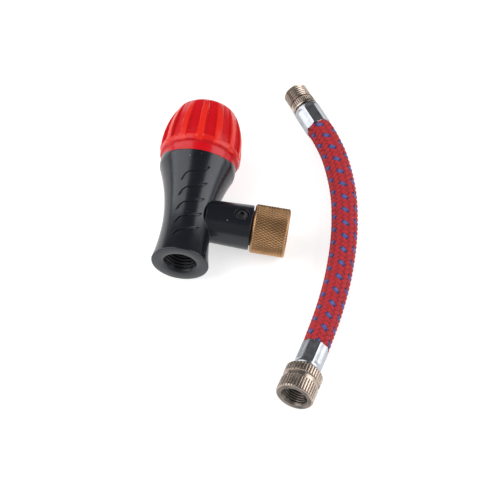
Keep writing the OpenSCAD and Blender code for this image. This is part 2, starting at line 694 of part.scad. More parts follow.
// The barbed shank that grips the liner.
module shank(x)
    rotate_extrude() polygon(concat([[0, x], [shoulder_r, x], [shoulder_r, x + ferrule_wall_t]],
        [for (i = [0 : barb_count - 1]) let (barb_x = x + ferrule_wall_t + barb_pitch * i)
            each [[shank_r, barb_x], [shank_r - barb_depth, barb_x + barb_len]]],
        [[shank_r - barb_depth, x + shank_len], [0, x + shank_len]]));
module male_fitting() color("#c9b49c")
    at_male() difference() {
        union() {
            rotate_extrude() polygon([[0, 0], [male_thread_r - male_bevel[0], 0],
                [male_thread_r, male_bevel[1]], [male_thread_r, male_thread_len],
                [relief_r, male_thread_len + cut], [relief_r, collar_x],
                [0, collar_x]]);
            turned(collar_r, collar_x, collar_x + collar_len, small_bevel);
            bore(shoulder_r, collar_x + collar_len - cut, male_ferrule_x + cut);
            shank(male_ferrule_x);
        }
        bore(hose_passage_r, -cut, male_ferrule_x + shank_len + cut);
        grip_grooves(collar_r, collar_x - cut, collar_x + collar_len - collar_rim,
            collar_groove_count);
    }
module male_ferrule() color("#b9bec4") at_male() ferrule(male_ferrule_x);
module female_tail() color("#c9b49c")
    at_female() difference() {
        union() {
            bore(tail_flange_r, tail_flange_x, tail_flange_x + tail_flange_t);
            bore(tail_neck_r, tail_flange_x, female_ferrule_x + cut);
            shank(female_ferrule_x);
        }
        bore(hose_passage_r, tail_flange_x - cut, female_ferrule_x + shank_len + cut);
    }
module female_ferrule() color("#b9bec4") at_female() ferrule(female_ferrule_x);
module tail_washer() color("#1c1c1c")
    at_female() tube(tail_flange_r, core_pin_hole_r, tail_washer_t, tail_flange_x - tail_washer_t);
// A pin on a cross that is pressed into the tail's passage.
module depressor_pin() color("#c8a45c")
    at_female() {
        bore(pin_r, tail_flange_x - depressor_len, tail_flange_x + cut);
        intersection() {
            bore(hose_passage_r, tail_flange_x, tail_flange_x + pin_cross[1]);
            union()
                for (a = [0, 90])
                    rotate(a) translate([-hose_passage_r, -pin_cross[0] / 2, tail_flange_x])
                        cube([2 * hose_passage_r, pin_cross[0], pin_cross[1]]);
        }
    }
module coupling_nut() color("#c9b49c")
    at_female() difference() {
        rotate_extrude() polygon([[0, 0], [nut_r - nut_bevel, 0], [nut_r, nut_bevel],
            [nut_r, nut_ring_x], [nut_r - nut_ring_depth, nut_ring_x],
            [nut_r - nut_ring_depth, nut_ring_x + nut_ring_w], [nut_r, nut_ring_x + nut_ring_w],
            [nut_r, nut_len - nut_rear_bevel], [nut_r - nut_rear_bevel, nut_len], [0, nut_len]]);
        grip_grooves(nut_r, nut_lip, nut_ring_x + cut, nut_groove_count);
        grip_grooves(nut_r, nut_ring_x + nut_ring_w - cut, nut_len + cut, nut_groove_count);
        bore(valve_thread_r, -cut, nut_depth);
        bore(valve_thread_r + thread_relief, nut_thread_end_x, nut_depth);
        translate([0, 0, -cut]) cylinder(r1 = valve_mouth_r + cut, r2 = valve_thread_r,
            h = valve_mouth_r - valve_thread_r + cut);
        bore(shoulder_r, 0, nut_len + cut);
    }

body();
gland_nut();
gland_seal();
needle_holder();
piercing_needle();
cartridge_seal();
set_screw();
valve_carrier();
valve_washer();
knob();
spindle();
spindle_seal();
stop_ring();
chuck();
chuck_seals();
chuck_washer();
core_pin();
hose_braid();
hose_liner();
male_fitting();
male_ferrule();
female_tail();
female_ferrule();
tail_washer();
depressor_pin();
coupling_nut();
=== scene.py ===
# %% [markdown]
# # A cartridge tire inflator and its extension hose
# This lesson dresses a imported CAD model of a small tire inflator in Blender: a
# black head with a red twist knob and a brass valve chuck, and a short braided
# hose that lies beside it.
# The CAD model is loaded first and stays as it is.  It gives the sizes, the
# joints and the places that the looks are built on.

# %% Load the CAD model
import json
import math
from bisect import bisect_right
from contextlib import contextmanager

import bmesh
import bpy
from mathutils import Matrix, Vector


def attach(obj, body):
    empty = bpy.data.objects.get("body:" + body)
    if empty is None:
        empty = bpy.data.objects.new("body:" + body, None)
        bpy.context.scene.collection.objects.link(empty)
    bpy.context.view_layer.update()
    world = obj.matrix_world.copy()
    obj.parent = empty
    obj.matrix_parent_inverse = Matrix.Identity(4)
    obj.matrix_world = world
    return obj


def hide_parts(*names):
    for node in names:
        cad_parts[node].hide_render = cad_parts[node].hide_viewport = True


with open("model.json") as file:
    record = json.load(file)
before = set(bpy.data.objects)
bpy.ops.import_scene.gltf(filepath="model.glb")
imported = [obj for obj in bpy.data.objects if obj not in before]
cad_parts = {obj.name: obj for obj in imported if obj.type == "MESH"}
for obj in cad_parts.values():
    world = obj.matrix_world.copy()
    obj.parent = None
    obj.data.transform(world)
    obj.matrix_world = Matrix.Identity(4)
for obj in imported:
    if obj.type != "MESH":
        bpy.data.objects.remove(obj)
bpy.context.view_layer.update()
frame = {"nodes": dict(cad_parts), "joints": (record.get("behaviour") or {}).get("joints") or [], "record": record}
joints = {joint["name"]: joint for joint in frame["joints"]}
mounts = {mount["name"]: mount for mount in frame["record"]["mounts"]}

# %% [markdown]
# ## The camera
# The camera looks down at the set from the front.  A long lens far away keeps
# parallel edges nearly parallel, as in a catalogue picture.  The camera is
# placed on a sphere round its target by two angles, which is easier to adjust
# than three coordinates and three rotations.

# %% Camera
target = Vector((0.00968, -0.01266, 0))
view_azimuth, view_elevation = math.radians(8.15), math.radians(51.98)
view_distance = 0.62
view_way = Vector((math.sin(view_azimuth) * math.cos(view_elevation),
                   -math.cos(view_azimuth) * math.cos(view_elevation),
                   math.sin(view_elevation)))
bpy.ops.object.select_all(action="DESELECT")
bpy.ops.object.camera_add(location=target + view_distance * view_way)
camera = bpy.context.object
camera.rotation_euler = (target - camera.location).to_track_quat("-Z", "Y").to_euler()
camera.data.sensor_width = 36
camera.data.lens = 149.5
camera.data.clip_start = 0.01
bpy.context.scene.camera = camera
bpy.context.scene.view_settings.view_transform = "Standard"
print("camera at", [round(c, 3) for c in camera.location])

# %% [markdown]
# ## Where the pieces go
# Round pieces are easiest to model upright, with their axis on Z and one
# Blender unit to the millimetre, because numbers near 1 suit the tools better
# than numbers near 0.001.  When a piece is finished, its mesh is shrunk to
# metres and moved to its place, and its object stays at the origin.
# The head's place comes from its two joints: the knob turns on the head's own
# axis and the chuck on the branch's.  The hose's ends repeat the CAD values.

# %% Places of the head, the branch and the hose's two ends
MM = Matrix.Scale(0.001, 4)
head_up = Vector(joints["knob_turn"]["axis"]).normalized()
branch_way = Vector(joints["chuck_spin"]["axis"]).normalized()
knob_point = Vector(joints["knob_turn"]["pos_m"])
foot_point = Vector(mounts["foot_face"]["pos_m"])
foot = knob_point + head_up * (foot_point - knob_point).dot(head_up)


def place_of(origin, x_way, z_way):
    """A matrix that takes upright millimetres to a place in the scene."""
    turn = Matrix((x_way, z_way.cross(x_way), z_way)).transposed().to_4x4()
    return Matrix.Translation(origin) @ turn @ MM


branch_z = 16.3
head = place_of(foot, branch_way, head_up)
to_branch = Matrix.Translation((0, 0, branch_z)) @ Matrix.Rotation(math.pi / 2, 4, "Y")
branch = head @ to_branch
male_end, male_turn = Vector((15.2, 48.5, 4.14)), math.radians(-56.4)
female_end, female_turn = Vector((29.9, -67, 5.57)), math.radians(77.7)


def hose_end_place(end, turn):
    """The place of a hose end: Z runs from its open end into the hose."""
    return MM @ Matrix.Translation(end) @ Matrix.Rotation(turn, 4, "Z") @ Matrix.Rotation(
        math.pi / 2, 4, "Y")


male = hose_end_place(male_end, male_turn)
female = hose_end_place(female_end, female_turn)
print("foot at", [round(c, 4) for c in foot])

# %% [markdown]
# ## Hands for modelling
# Operators act on whatever is selected, so these helpers first clear the
# selection and then pick one piece, or points by their place.

# %% Selecting and editing
def only(piece=None):
    """Deselects everything, then selects one piece and makes it active."""
    bpy.ops.object.select_all(action="DESELECT")
    if piece:
        piece.select_set(True)
        bpy.context.view_layer.objects.active = piece


def plane(name, size=1):
    """A new square plane at the origin, with nothing else selected."""
    only()
    bpy.ops.mesh.primitive_plane_add(size=size, location=(0, 0, 0))
    piece = bpy.context.object
    piece.name = piece.data.name = name
    return piece


@contextmanager
def editing(piece):
    """Edit mode on one piece, with nothing selected in it."""
    only(piece)
    bpy.ops.object.mode_set(mode="EDIT")
    bpy.ops.mesh.select_all(action="DESELECT")
    yield
    bpy.ops.object.mode_set(mode="OBJECT")


def pick(*places):
    """In edit mode, selects the points that lie at these places."""
    bpy.ops.mesh.select_mode(type="VERT")
    bpy.ops.mesh.select_all(action="DESELECT")
    edited = bmesh.from_edit_mesh(bpy.context.edit_object.data)
    for point in edited.verts:
        if any((point.co - place).length < 1e-5 for place in places):
            point.select_set(True)
    bmesh.update_edit_mesh(bpy.context.edit_object.data)


def modified(piece, kind, **settings):
    """Gives a piece a modifier with these settings and applies it."""
    only(piece)
    step = piece.modifiers.new(kind.title(), kind)
    for name, value in settings.items():
        setattr(step, name, value)
    bpy.ops.object.modifier_apply(modifier=step.name)


def carved(piece, tool, operation="DIFFERENCE"):
    """Cuts a tool solid out of a piece, or adds it, and throws the tool away."""
    modified(piece, "BOOLEAN", object=tool, operation=operation, solver="EXACT")
    bpy.data.objects.remove(tool)


# %% [markdown]
# ## Turned pieces
# Nearly every part of this set comes from a lathe.  A turned piece is made the
# same way here: one point is pulled along the part's outline by extruding, and
# the outline is then spun round the axis.  Doubles are merged at the seam and
# the poles, and after that the normals are made to point outwards.
# A screw thread, a knurl or a flute is pressed into such a piece afterwards:
# each point gets a weight that says how deep it goes, and a Displace modifier
# moves it that far along its normal.  The weight is also kept as an attribute,
# so that a metal finish can paint shade at the bottom of its grooves.

# %% Drawing an outline
def outwards():
    """In edit mode, turns all the faces of a closed piece outwards."""
    bpy.ops.mesh.select_all(action="SELECT")
    bpy.ops.mesh.normals_make_consistent(inside=False)


def pull(outline):
    """In edit mode, merges a new plane to one point and pulls it along an outline."""
    bpy.ops.mesh.select_mode(type="VERT")
    bpy.ops.mesh.select_all(action="SELECT")
    bpy.ops.mesh.merge(type="CENTER")
    here = Vector((outline[0][0], 0, outline[0][1]))
    bpy.ops.transform.translate(value=here)
    for x, z in outline[1:]:
        step = Vector((x, 0, z)) - here
        bpy.ops.mesh.extrude_region_move(TRANSFORM_OT_translate={"value": step})
        here += step
    return here


def rows(radius, low, high, step):
    """Outline points up or down one radius, about a step apart."""
    count = max(1, round(abs(high - low) / step))
    return [(radius, low + (high - low) * i / count) for i in range(count + 1)]


# %% The lathe
def turned(name, outline, steps=96, closed=True):
    """Spins an outline of (radius, height) points round the Z axis."""
    piece = plane(name)
    with editing(piece):
        last = pull(outline)
        if closed:
            pick(Vector((outline[0][0], 0, outline[0][1])), last)
            bpy.ops.mesh.edge_face_add()
        bpy.ops.mesh.select_all(action="SELECT")
        bpy.ops.mesh.spin(steps=steps, angle=2 * math.pi, center=(0, 0, 0), axis=(0, 0, 1))
        bpy.ops.mesh.select_all(action="SELECT")
        bpy.ops.mesh.remove_doubles(threshold=1e-4)
        outwards()
        if bmesh.from_edit_mesh(piece.data).calc_volume(signed=True) < 0:
            bpy.ops.mesh.flip_normals()
    return piece


# %% Pressing patterns into a turned piece
def off_axis(point):
    """How far a place lies from the Z axis."""
    return math.hypot(point.x, point.y)


def angle_of(point):
    """Where a place lies round the Z axis, in degrees."""
    return math.degrees(math.atan2(point.y, point.x)) % 360


def pressed(piece, depth, share, shade_grooves=True):
    """Sinks points along their normals by depth times share(angle, radius, height)."""
    weights = piece.vertex_groups.new(name="pressed")
    depths = [0.0] * len(piece.data.vertices)
    if "groove" in piece.data.attributes:
        piece.data.attributes["groove"].data.foreach_get("value", depths)
    else:
        piece.data.attributes.new("groove", "FLOAT", "POINT")
    for point in piece.data.vertices:
        weight = share(angle_of(point.co), off_axis(point.co), point.co.z)
        if weight > 0:
            weights.add([point.index], min(1, weight), "REPLACE")
            # The kept share paints shade at the groove bottoms in the metal finishes.
            depths[point.index] = min(1, weight) if shade_grooves else 0.0
    piece.data.attributes["groove"].data.foreach_set("value", depths)
    modified(piece, "DISPLACE", direction="NORMAL", strength=-depth, mid_level=0,
             vertex_group="pressed")
    piece.vertex_groups.clear()


def wave(x):
    """0 at whole numbers and 1 half-way between them, in straight lines."""
    return 1 - abs(2 * (x % 1) - 1)


def between(x, low, high, soft=0.1):
    """1 inside a range and 0 outside, with soft ends."""
    return max(0.0, min(1.0, (x - low) / soft + 0.5, (high - x) / soft + 0.5))


def thread(pitch, radius, low, high):
    """The share of a screw thread: a V that winds up one radius."""
    def share(angle, r, z):
        inside = abs(r - radius) < 0.02 and between(z, low, high, 0.3)
        return inside * min(1, 1.25 * wave(z / pitch - angle / 360)) if inside else 0
    return share


# %% Coating and placing a piece
def coated(piece, *paints):
    """Puts finishes on a piece's material slots."""
    piece.data.materials.clear()
    for paint in paints:
        piece.data.materials.append(paint)
    return piece


def finished(piece, place, body, replaces=(), crease=30):
    """Shades a piece, moves its mesh to its place and hangs it on its body."""
    only(piece)
    bpy.ops.object.shade_smooth_by_angle(angle=math.radians(crease))
    piece.data.transform(place)
    piece.data.update()
    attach(piece, body)
    if replaces:
        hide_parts(*replaces)
    print(piece.name, "faces:", len(piece.data.polygons))
    return piece


# %% [markdown]
# ## Finishes
# A material that is one flat colour looks like a toy.  Each finish here starts
# from the Principled shader and gets small variations: in roughness, from
# handling; in colour, from tarnish or dye; and in relief, from casting, turning
# or plating.  The patterns read Object coordinates, which are metres, so a
# scale of 1000 makes features about a millimetre wide.

# %% Node helpers
def finish(name, **sockets):
    """A new material, with values set on its Principled shader."""
    paint = bpy.data.materials.new(name)
    paint.use_nodes = True
    shader = paint.node_tree.nodes["Principled BSDF"]
    for socket, value in sockets.items():
        shader.inputs[socket.replace("_", " ")].default_value = value
    print("finish:", name)
    return paint


def node(paint, kind, values=(), **settings):
    """Adds a node.  Its inputs are numbers, colours or other nodes' outputs."""
    new = paint.node_tree.nodes.new("ShaderNode" + kind)
    for name, value in settings.items():
        setattr(new, name, value)
    for name, value in dict(values).items():
        if isinstance(value, bpy.types.NodeSocket):
            paint.node_tree.links.new(value, new.inputs[name])
        else:
            new.inputs[name].default_value = value
    return new


def feed(paint, socket, source):
    """Links a pattern to a socket of the material's Principled shader."""
    shader = paint.node_tree.nodes["Principled BSDF"]
    paint.node_tree.links.new(source, shader.inputs[socket])


def noise(paint, scale, detail=3, vector=None):
    """Cloudy values around 0.5, in Object coordinates unless told otherwise."""
    vector = vector or node(paint, "TexCoord").outputs["Object"]
    return node(paint, "TexNoise", {"Vector": vector, "Scale": scale,
                                    "Detail": detail}).outputs["Fac"]


def spread(paint, value, low, high, from_low=0.3, from_high=0.7):
    """Stretches a pattern's values to a new range."""
    return node(paint, "MapRange", {"Value": value, "From Min": from_low, "From Max": from_high,
                                    "To Min": low, "To Max": high}).outputs["Result"]


def blended(paint, share, first, second):
    """A colour between two, by a share."""
    mix = node(paint, "Mix", data_type="RGBA")
    for socket, value in (("Factor", share), ("A", first), ("B", second)):
        wanted = [i for i in mix.inputs if i.name == socket and i.enabled][0]
        if isinstance(value, bpy.types.NodeSocket):
            paint.node_tree.links.new(value, wanted)
        else:
            wanted.default_value = value if isinstance(value, float) else (*value, 1)
    return [o for o in mix.outputs if o.enabled][0]


def clouded(paint, scale, first, second, detail=3):
    """A colour that drifts between two in soft clouds."""
    return blended(paint, spread(paint, noise(paint, scale, detail), 0, 1), first, second)


def roughened(paint, scale, low, high, detail=3):
    """Roughness that changes in soft clouds."""
    feed(paint, "Roughness", spread(paint, noise(paint, scale, detail), low, high))


def relief(paint, height, distance, strength=1.0, edge=0.0):
    """Bumps of a real height, in metres, with edges that look rounded by a radius."""
    bump = node(paint, "Bump", {"Height": height, "Distance": distance, "Strength": strength})
    if edge:
        rounded = node(paint, "Bevel", {"Radius": edge}, samples=6)
        paint.node_tree.links.new(rounded.outputs["Normal"], bump.inputs["Normal"])
    feed(paint, "Normal", bump.outputs["Normal"])


def local(paint, place):
    """Object coordinates turned so that Z is a piece's own axis, in metres."""
    turn = place.to_3x3().normalized().inverted()
    return node(paint, "Mapping", {
        "Vector": node(paint, "TexCoord").outputs["Object"], "Rotation": turn.to_euler(),
        "Location": turn @ -place.to_translation()}).outputs["Vector"]


# %% [markdown]
# The head is cast and coated in satin black.  The coat is dark but not black,
# its gloss is a little uneven, and a few pale specks lie in it.  A Bevel node
# rounds the edges that the light sees, so that they draw thin bright lines.
# The threaded socket is painted darker inside, as painted shade, and hardly shines.

# %% Black coat
black_coat = finish("black_coat", IOR=1.5, Specular_Tint=(0.91, 0.93, 1.0, 1))
coat_cloud = clouded(black_coat, 180, (0.0038, 0.0048, 0.0075), (0.0060, 0.0076, 0.0120))
speck_distance = node(black_coat, "TexVoronoi", {
    "Vector": node(black_coat, "TexCoord").outputs["Object"], "Scale": 260}).outputs["Distance"]
specks = spread(black_coat, speck_distance, 1, 0, 0.035, 0.055)
feed(black_coat, "Base Color", blended(black_coat, specks, coat_cloud, (0.16, 0.17, 0.18)))
roughened(black_coat, 420, 0.21, 0.27, 4)
relief(black_coat, noise(black_coat, 2600, 2), 0.000012, 0.1, 0.00032)

# Painted shade: a darker coat for the inside of the socket.
shaded_bore = finish("shaded_bore", Specular_IOR_Level=0.3)
feed(shaded_bore, "Base Color",
     clouded(shaded_bore, 700, (0.0015, 0.0018, 0.0025), (0.004, 0.0045, 0.006)))
roughened(shaded_bore, 900, 0.30, 0.42)

# %% [markdown]
# The knob is moulded in glossy red plastic.  Its ribs and lip are painted a
# warmer, lighter red than the panels: painted light, for the glow through the
# thin ribs and a painted highlight on the lip.  An attribute that the knob's
# mesh carries marks where.

# %% Red plastic
red_knob = finish("red_knob", IOR=1.5, Specular_IOR_Level=0.31)
painted_glow = node(red_knob, "Attribute", attribute_name="painted_glow").outputs["Fac"]
dyed = clouded(red_knob, 120, (0.52, 0.0012, 0.006), (0.57, 0.0022, 0.008))
# Painted light: where the attribute is 1 the red turns to a lighter, warmer red.
feed(red_knob, "Base Color", blended(red_knob, painted_glow, dyed, (0.68, 0.017, 0.008)))
roughened(red_knob, 500, 0.20, 0.28, 4)
relief(red_knob, noise(red_knob, 700, 2), 0.00002, 0.2, 0.00025)

# %% [markdown]
# The metal finishes share one recipe: a metallic base whose colour drifts
# between bright and tarnished, roughness that changes in smaller clouds, and
# the fine rings that a turning tool leaves, which are noise stretched round the
# piece's own axis.  The bottoms of pressed grooves get painted shade.

# %% Turned metal
def turned_metal(name, bright, dull, rough, place, ring=0.000004):
    """A metallic finish with tarnish clouds, turning marks and painted shade in its grooves."""
    paint = finish(name, Metallic=1.0)
    worn = clouded(paint, 260, dull, bright, 4)
    groove = node(paint, "Attribute", attribute_name="groove").outputs["Fac"]
    # Painted shade: groove bottoms turn towards a dark copy of the dull colour.
    feed(paint, "Base Color", blended(paint, spread(paint, groove, 0, 0.85, 0.45, 0.95), worn,
                                      tuple(0.42 * c for c in dull)))
    roughened(paint, 700, rough - 0.05, rough + 0.07)
    squeeze = node(paint, "Mapping", {"Vector": local(paint, place), "Scale": (60, 60, 9000)})
    relief(paint, noise(paint, 1, 2, squeeze.outputs["Vector"]), ring, 0.6, 0.00006)
    return paint


brass = turned_metal("brass", (0.56, 0.33, 0.165), (0.39, 0.22, 0.108), 0.33, branch)
head_brass = turned_metal("head_brass", (0.74, 0.47, 0.21), (0.58, 0.34, 0.14), 0.30, head)
nickel_male = turned_metal("nickel_male", (0.50, 0.415, 0.355), (0.31, 0.25, 0.21), 0.25, male)
nickel_female = turned_metal("nickel_female", (0.50, 0.415, 0.355), (0.32, 0.26, 0.22), 0.30,
                             female)
steel = turned_metal("steel", (0.60, 0.61, 0.63), (0.48, 0.49, 0.51), 0.25, head)
black_steel = turned_metal("black_steel", (0.24, 0.24, 0.25), (0.10, 0.10, 0.11), 0.24, head)
plated_ring = 0.000002  # plating fills the turning marks
zinc_male = turned_metal("zinc_male", (0.44, 0.46, 0.49), (0.33, 0.35, 0.38), 0.30, male,
                         plated_ring)
zinc_female = turned_metal("zinc_female", (0.46, 0.48, 0.51), (0.35, 0.37, 0.40), 0.28, female,
                           plated_ring)
# Painted shade: a darker copy of the nickel for the nut's front face and its inside.
shaded_nut_bore = turned_metal("shaded_nut_bore", (0.24, 0.205, 0.18), (0.08, 0.07, 0.062), 0.30, female)

# %% Rubber
rubber = finish("rubber", Roughness=0.6)
feed(rubber, "Base Color", clouded(rubber, 900, (0.012, 0.012, 0.013), (0.026, 0.026, 0.027)))
relief(rubber, noise(rubber, 3000, 3), 0.00002, 0.5)

# %% [markdown]
# The braid's yarn is a flat bundle of fine fibres.  The strands carry a UV map
# that runs along and across each strand, so that noise stretched along U draws
# the fibres.  A little sheen gives the soft edge that fibres have, and where a
# strand dives under its neighbours an attribute darkens it: painted shade.

# %% Yarn
def yarn(name, light, dark, shade, far=0.42):
    """Braid yarn, with fibres drawn along the strand and a shade where it dives."""
    paint = finish(name, Roughness=0.7, Specular_IOR_Level=0.3, Sheen_Weight=0.1,
                   Sheen_Roughness=0.4)
    along = node(paint, "UVMap", uv_map="strand").outputs["UV"]
    fibres = node(paint, "Mapping", {"Vector": along, "Scale": (0.9, 14, 1)}).outputs["Vector"]
    lines = noise(paint, 1, 3, fibres)
    bundle = blended(paint, spread(paint, lines, 0, 1, 0.35, 0.65), dark, light)
    # Painted shade: where the strand dives, its colour turns to half its dark tone.
    sunk = node(paint, "Attribute", attribute_name="sunk").outputs["Fac"]
    feed(paint, "Base Color", blended(paint, spread(paint, sunk, 0, shade, 0.02, far), bundle,
                                      tuple(0.5 * c for c in dark)))
    relief(paint, lines, 0.00006, 0.8)
    return paint


red_yarn = yarn("red_yarn", (0.49, 0.021, 0.029), (0.29, 0.010, 0.016), 0.5)
blue_yarn = yarn("blue_yarn", (0.125, 0.150, 0.43), (0.045, 0.050, 0.19), 1.0, 0.16)
hose_dark = finish("hose_dark", Roughness=0.8)
feed(hose_dark, "Base Color",
     clouded(hose_dark, 1500, (0.20, 0.010, 0.015), (0.30, 0.016, 0.022)))


# %% [markdown]
# ## The hose
# The hose is a rubber tube in a braided cover.  A texture can only paint a
# braid, and at the hose's edge the eye sees that it is flat, so the strands are
# real here: twelve wind to the right and twelve to the left, and each goes over
# two strands and under two.  Every third right-hand strand is blue.
# A strand is a flat bundle swept along its own winding line, and that line is a
# formula, so the mesh is written from points instead of being pulled by hand.
# Both of its ends are tucked under a ferrule.
# The middle of the hose is a smooth curve through the CAD route's own points.

# %% The hose's middle line
ferrule_end_male, ferrule_end_female = 16.9, 18.4
male_way, female_way = [Vector((math.cos(turn), math.sin(turn), 0))
                        for turn in (male_turn, female_turn)]
route = [male_end + male_way * ferrule_end_male]
route += [Vector(p) for p in (
    (26.4, 31.9, 4.05), (29.8, 25.6, 4.05), (32.2, 19.5, 4.05), (34.1, 13.3, 4.05),
    (35.5, 7.2, 4.05), (36.4, 1, 4.05), (37, -5.1, 4.05), (37.3, -11.2, 4.05),
    (37.3, -17.2, 4.05), (37.1, -23.2, 4.05), (36.6, -29.2, 4.05), (35.9, -35.3, 4.2),
    (35.1, -41, 4.75), (34.4, -45.6, 5.4))]
route += [female_end + female_way * ferrule_end_female]


def middle_line(points, first_way, last_way, tuck=1.0, parts=24):
    """Many points on a smooth curve through the route, a little way past both ends."""
    guides = [points[0] - first_way * 6, *points, points[-1] + last_way * 6]
    line = [points[0] - first_way * tuck]
    for a, b, c, d in zip(guides, guides[1:], guides[2:], guides[3:]):
        for step in range(parts):
            t = step / parts
            line.append(0.5 * (2 * b + (c - a) * t + (2 * a - 5 * b + 4 * c - d) * t ** 2
                               + (3 * b - a - 3 * c + d) * t ** 3))
    return line + [points[-1], points[-1] + last_way * tuck]


middle = middle_line(route, male_way, -female_way)
reach = [0.0]
for a, b in zip(middle, middle[1:]):
    reach.append(reach[-1] + (b - a).length)
print("hose between its ferrules:", round(reach[-1] - 2, 1), "mm")


def spot(s):
    """The hose's middle and its three directions at a distance from the first ferrule."""
    s = max(0, min(reach[-1] - 1e-6, s + 1))
    high = bisect_right(reach, s)
    low = high - 1
    share = (s - reach[low]) / (reach[high] - reach[low])
    before, after = max(0, low - 1), min(len(middle) - 1, high + 1)
    way = ((middle[high] - middle[before]) * (1 - share)
           + (middle[after] - middle[low]) * share).normalized()
    side = way.cross(Vector((0, 0, 1))).normalized()
    return middle[low].lerp(middle[high], share), way, side, side.cross(way)


# %% The braid's strands
strand_turn = 17.9  # degrees that a strand winds round per millimetre
hose_twist = 0.32  # how the whole braid turns along the hose, degrees per millimetre
strand_wide, strand_thick = 1.36, 0.60
strands_each_way, corners, strand_step = 12, 8, 0.22
braid_middle, braid_swing, swing_top = 3.44, 0.25, 1.08
hose_run = reach[-1] - 2
weave_soft = 0.18  # the smaller it is, the more suddenly a strand dives
dive_start, dive_over, dive_depth = 0.35, 0.9, 0.32  # where the ends dive under a ferrule
strand_tuck = 0.8  # how far the ends reach under it
strand_run = hose_run + 2 * strand_tuck


def strand_line(start, sense, s):
    """A strand's middle, width way, outward way and how deep it lies, from 0 to 1."""
    angle = start + sense * strand_turn * s
    crossing = math.cos(math.radians(strands_each_way / 2 * (angle - 80)))
    swing = sense * crossing / math.sqrt(crossing ** 2 + weave_soft) * swing_top
    tucked = (min(1, max(0, (dive_start - s) / dive_over))
              + min(1, max(0, (s - hose_run + dive_start) / dive_over)))
    radius = braid_middle + braid_swing * swing * (1 - 0.6 * tucked) - dive_depth * tucked
    centre, way, side, up = spot(s)
    turn = math.radians(angle + hose_twist * s)
    out = math.cos(turn) * side + math.sin(turn) * up
    round_way = math.cos(turn) * up - math.sin(turn) * side
    slope = math.atan(math.radians(strand_turn) * 4)
    wide_way = math.cos(slope) * round_way - sense * math.sin(slope) * way
    return centre + out * radius, wide_way, out, 0.5 - swing / (2 * swing_top)


# %% Weave
def band(low, step, sides):
    """The faces between the ring of points that starts at low and the one a step on."""
    return [[low + k, low + (k + 1) % sides, low + step + (k + 1) % sides, low + step + k]
            for k in range(sides)]


points, faces, colours, uvs, depths = [], [], [], [], []
steps = round(strand_run / strand_step)
for sense, first in ((1, 60.3), (-1, 84.7)):
    for number in range(strands_each_way):
        blue = sense == 1 and number % 3 == 0
        start = first + 360 / strands_each_way * number
        base, shift = len(points), 7.3 * number + (50 if sense == 1 else 0)
        for i in range(steps + 1):
            s = -strand_tuck + strand_run * i / steps
            centre, wide_way, out, deep = strand_line(start, sense, s)
            depths += [deep] * corners
            for k in range(corners):
                a = 2 * math.pi * k / corners
                points.append(0.001 * (centre + wide_way * (strand_wide / 2 * math.cos(a))
                                       + out * (strand_thick / 2 * math.sin(a))))
        for i in range(steps):
            faces += band(base + i * corners, corners, corners)
            u0, u1 = i * strand_step + shift, (i + 1) * strand_step + shift
            for k in range(corners):
                v0, v1 = k / corners, (k + 1) / corners
                uvs += [(u0, v0), (u0, v1), (u1, v1), (u1, v0)]
        for end in (0, steps):
            cap = [base + end * corners + k for k in range(corners)]
            faces.append(cap[::-1] if end == 0 else cap)
            uvs += [(0, 0)] * corners
        colours += [int(blue)] * (steps * corners + 2)

braid_mesh = bpy.data.meshes.new("braided_cover")
braid_mesh.from_pydata(points, [], faces)
braid_mesh.uv_layers.new(name="strand")
braid_mesh.uv_layers["strand"].data.foreach_set("uv", [c for uv in uvs for c in uv])
braid_mesh.attributes.new("sunk", "FLOAT", "POINT").data.foreach_set("value", depths)


def from_mesh(mesh):
    """A piece made of a written mesh, with its faces turned outwards."""
    piece = bpy.data.objects.new(mesh.name, mesh)
    bpy.context.scene.collection.objects.link(piece)
    with editing(piece):
        outwards()
    return piece


braid = coated(from_mesh(braid_mesh), red_yarn, blue_yarn)
braid_mesh.polygons.foreach_set("material_index", colours)
finished(braid, Matrix.Identity(4), "hose", ["hose_braid"], 60)
print("braid strands:", 2 * strands_each_way, "points:", len(points))

# %% [markdown]
# Under the strands lies the rubber tube.  It shows only as a dark red ground
# through the small gaps, so a plain swept tube is enough: an outer and an inner
# wall of rings along the middle line, which runs straight on into each ferrule.

# %% The hose's tube
tube_points, tube_faces, tube_sides, rings = [], [], 32, 111
tube_low, tube_run = -7.3, hose_run + 14.8
bent = 0.99  # how far past each ferrule's edge the middle line still bends
for radius in (3.4, 2.35):
    for i in range(rings):
        s = tube_low + tube_run * i / (rings - 1)
        centre, way, side, up = spot(min(max(s, -bent), hose_run + bent))
        centre = centre + way * (min(0, s + bent) + max(0, s - hose_run - bent))
        for k in range(tube_sides):
            a = 2 * math.pi * k / tube_sides
            out = math.cos(a) * side + math.sin(a) * up
            tube_points.append(0.001 * (centre + radius * out))
wall_points = rings * tube_sides
for first in (0, wall_points):
    for i in range(rings - 1):
        tube_faces += band(first + i * tube_sides, tube_sides, tube_sides)
for first in (0, wall_points - tube_sides):
    tube_faces += band(first, wall_points, tube_sides)
tube_mesh = bpy.data.meshes.new("hose_tube")
tube_mesh.from_pydata(tube_points, [], tube_faces)
hose_tube = coated(from_mesh(tube_mesh), hose_dark)
finished(hose_tube, Matrix.Identity(4), "hose", ["hose_liner"], 60)

# %% [markdown]
# ## The ferrules
# A ferrule is a thin zinc-plated sleeve that a press crimps with eight jaws:
# hollow where a jaw bit, round at the end next to its fitting.  It is turned
# round, and the eight hollows are then pressed into it, which leaves crisp
# ridges between them.  Its hose end is cut back a little at each ridge.

# %% Ferrules
ferrule_r, ferrule_flat_r, ferrule_len, ferrule_round = 4.12, 3.80, 8.6, 1.3
jaw = 360 / 8


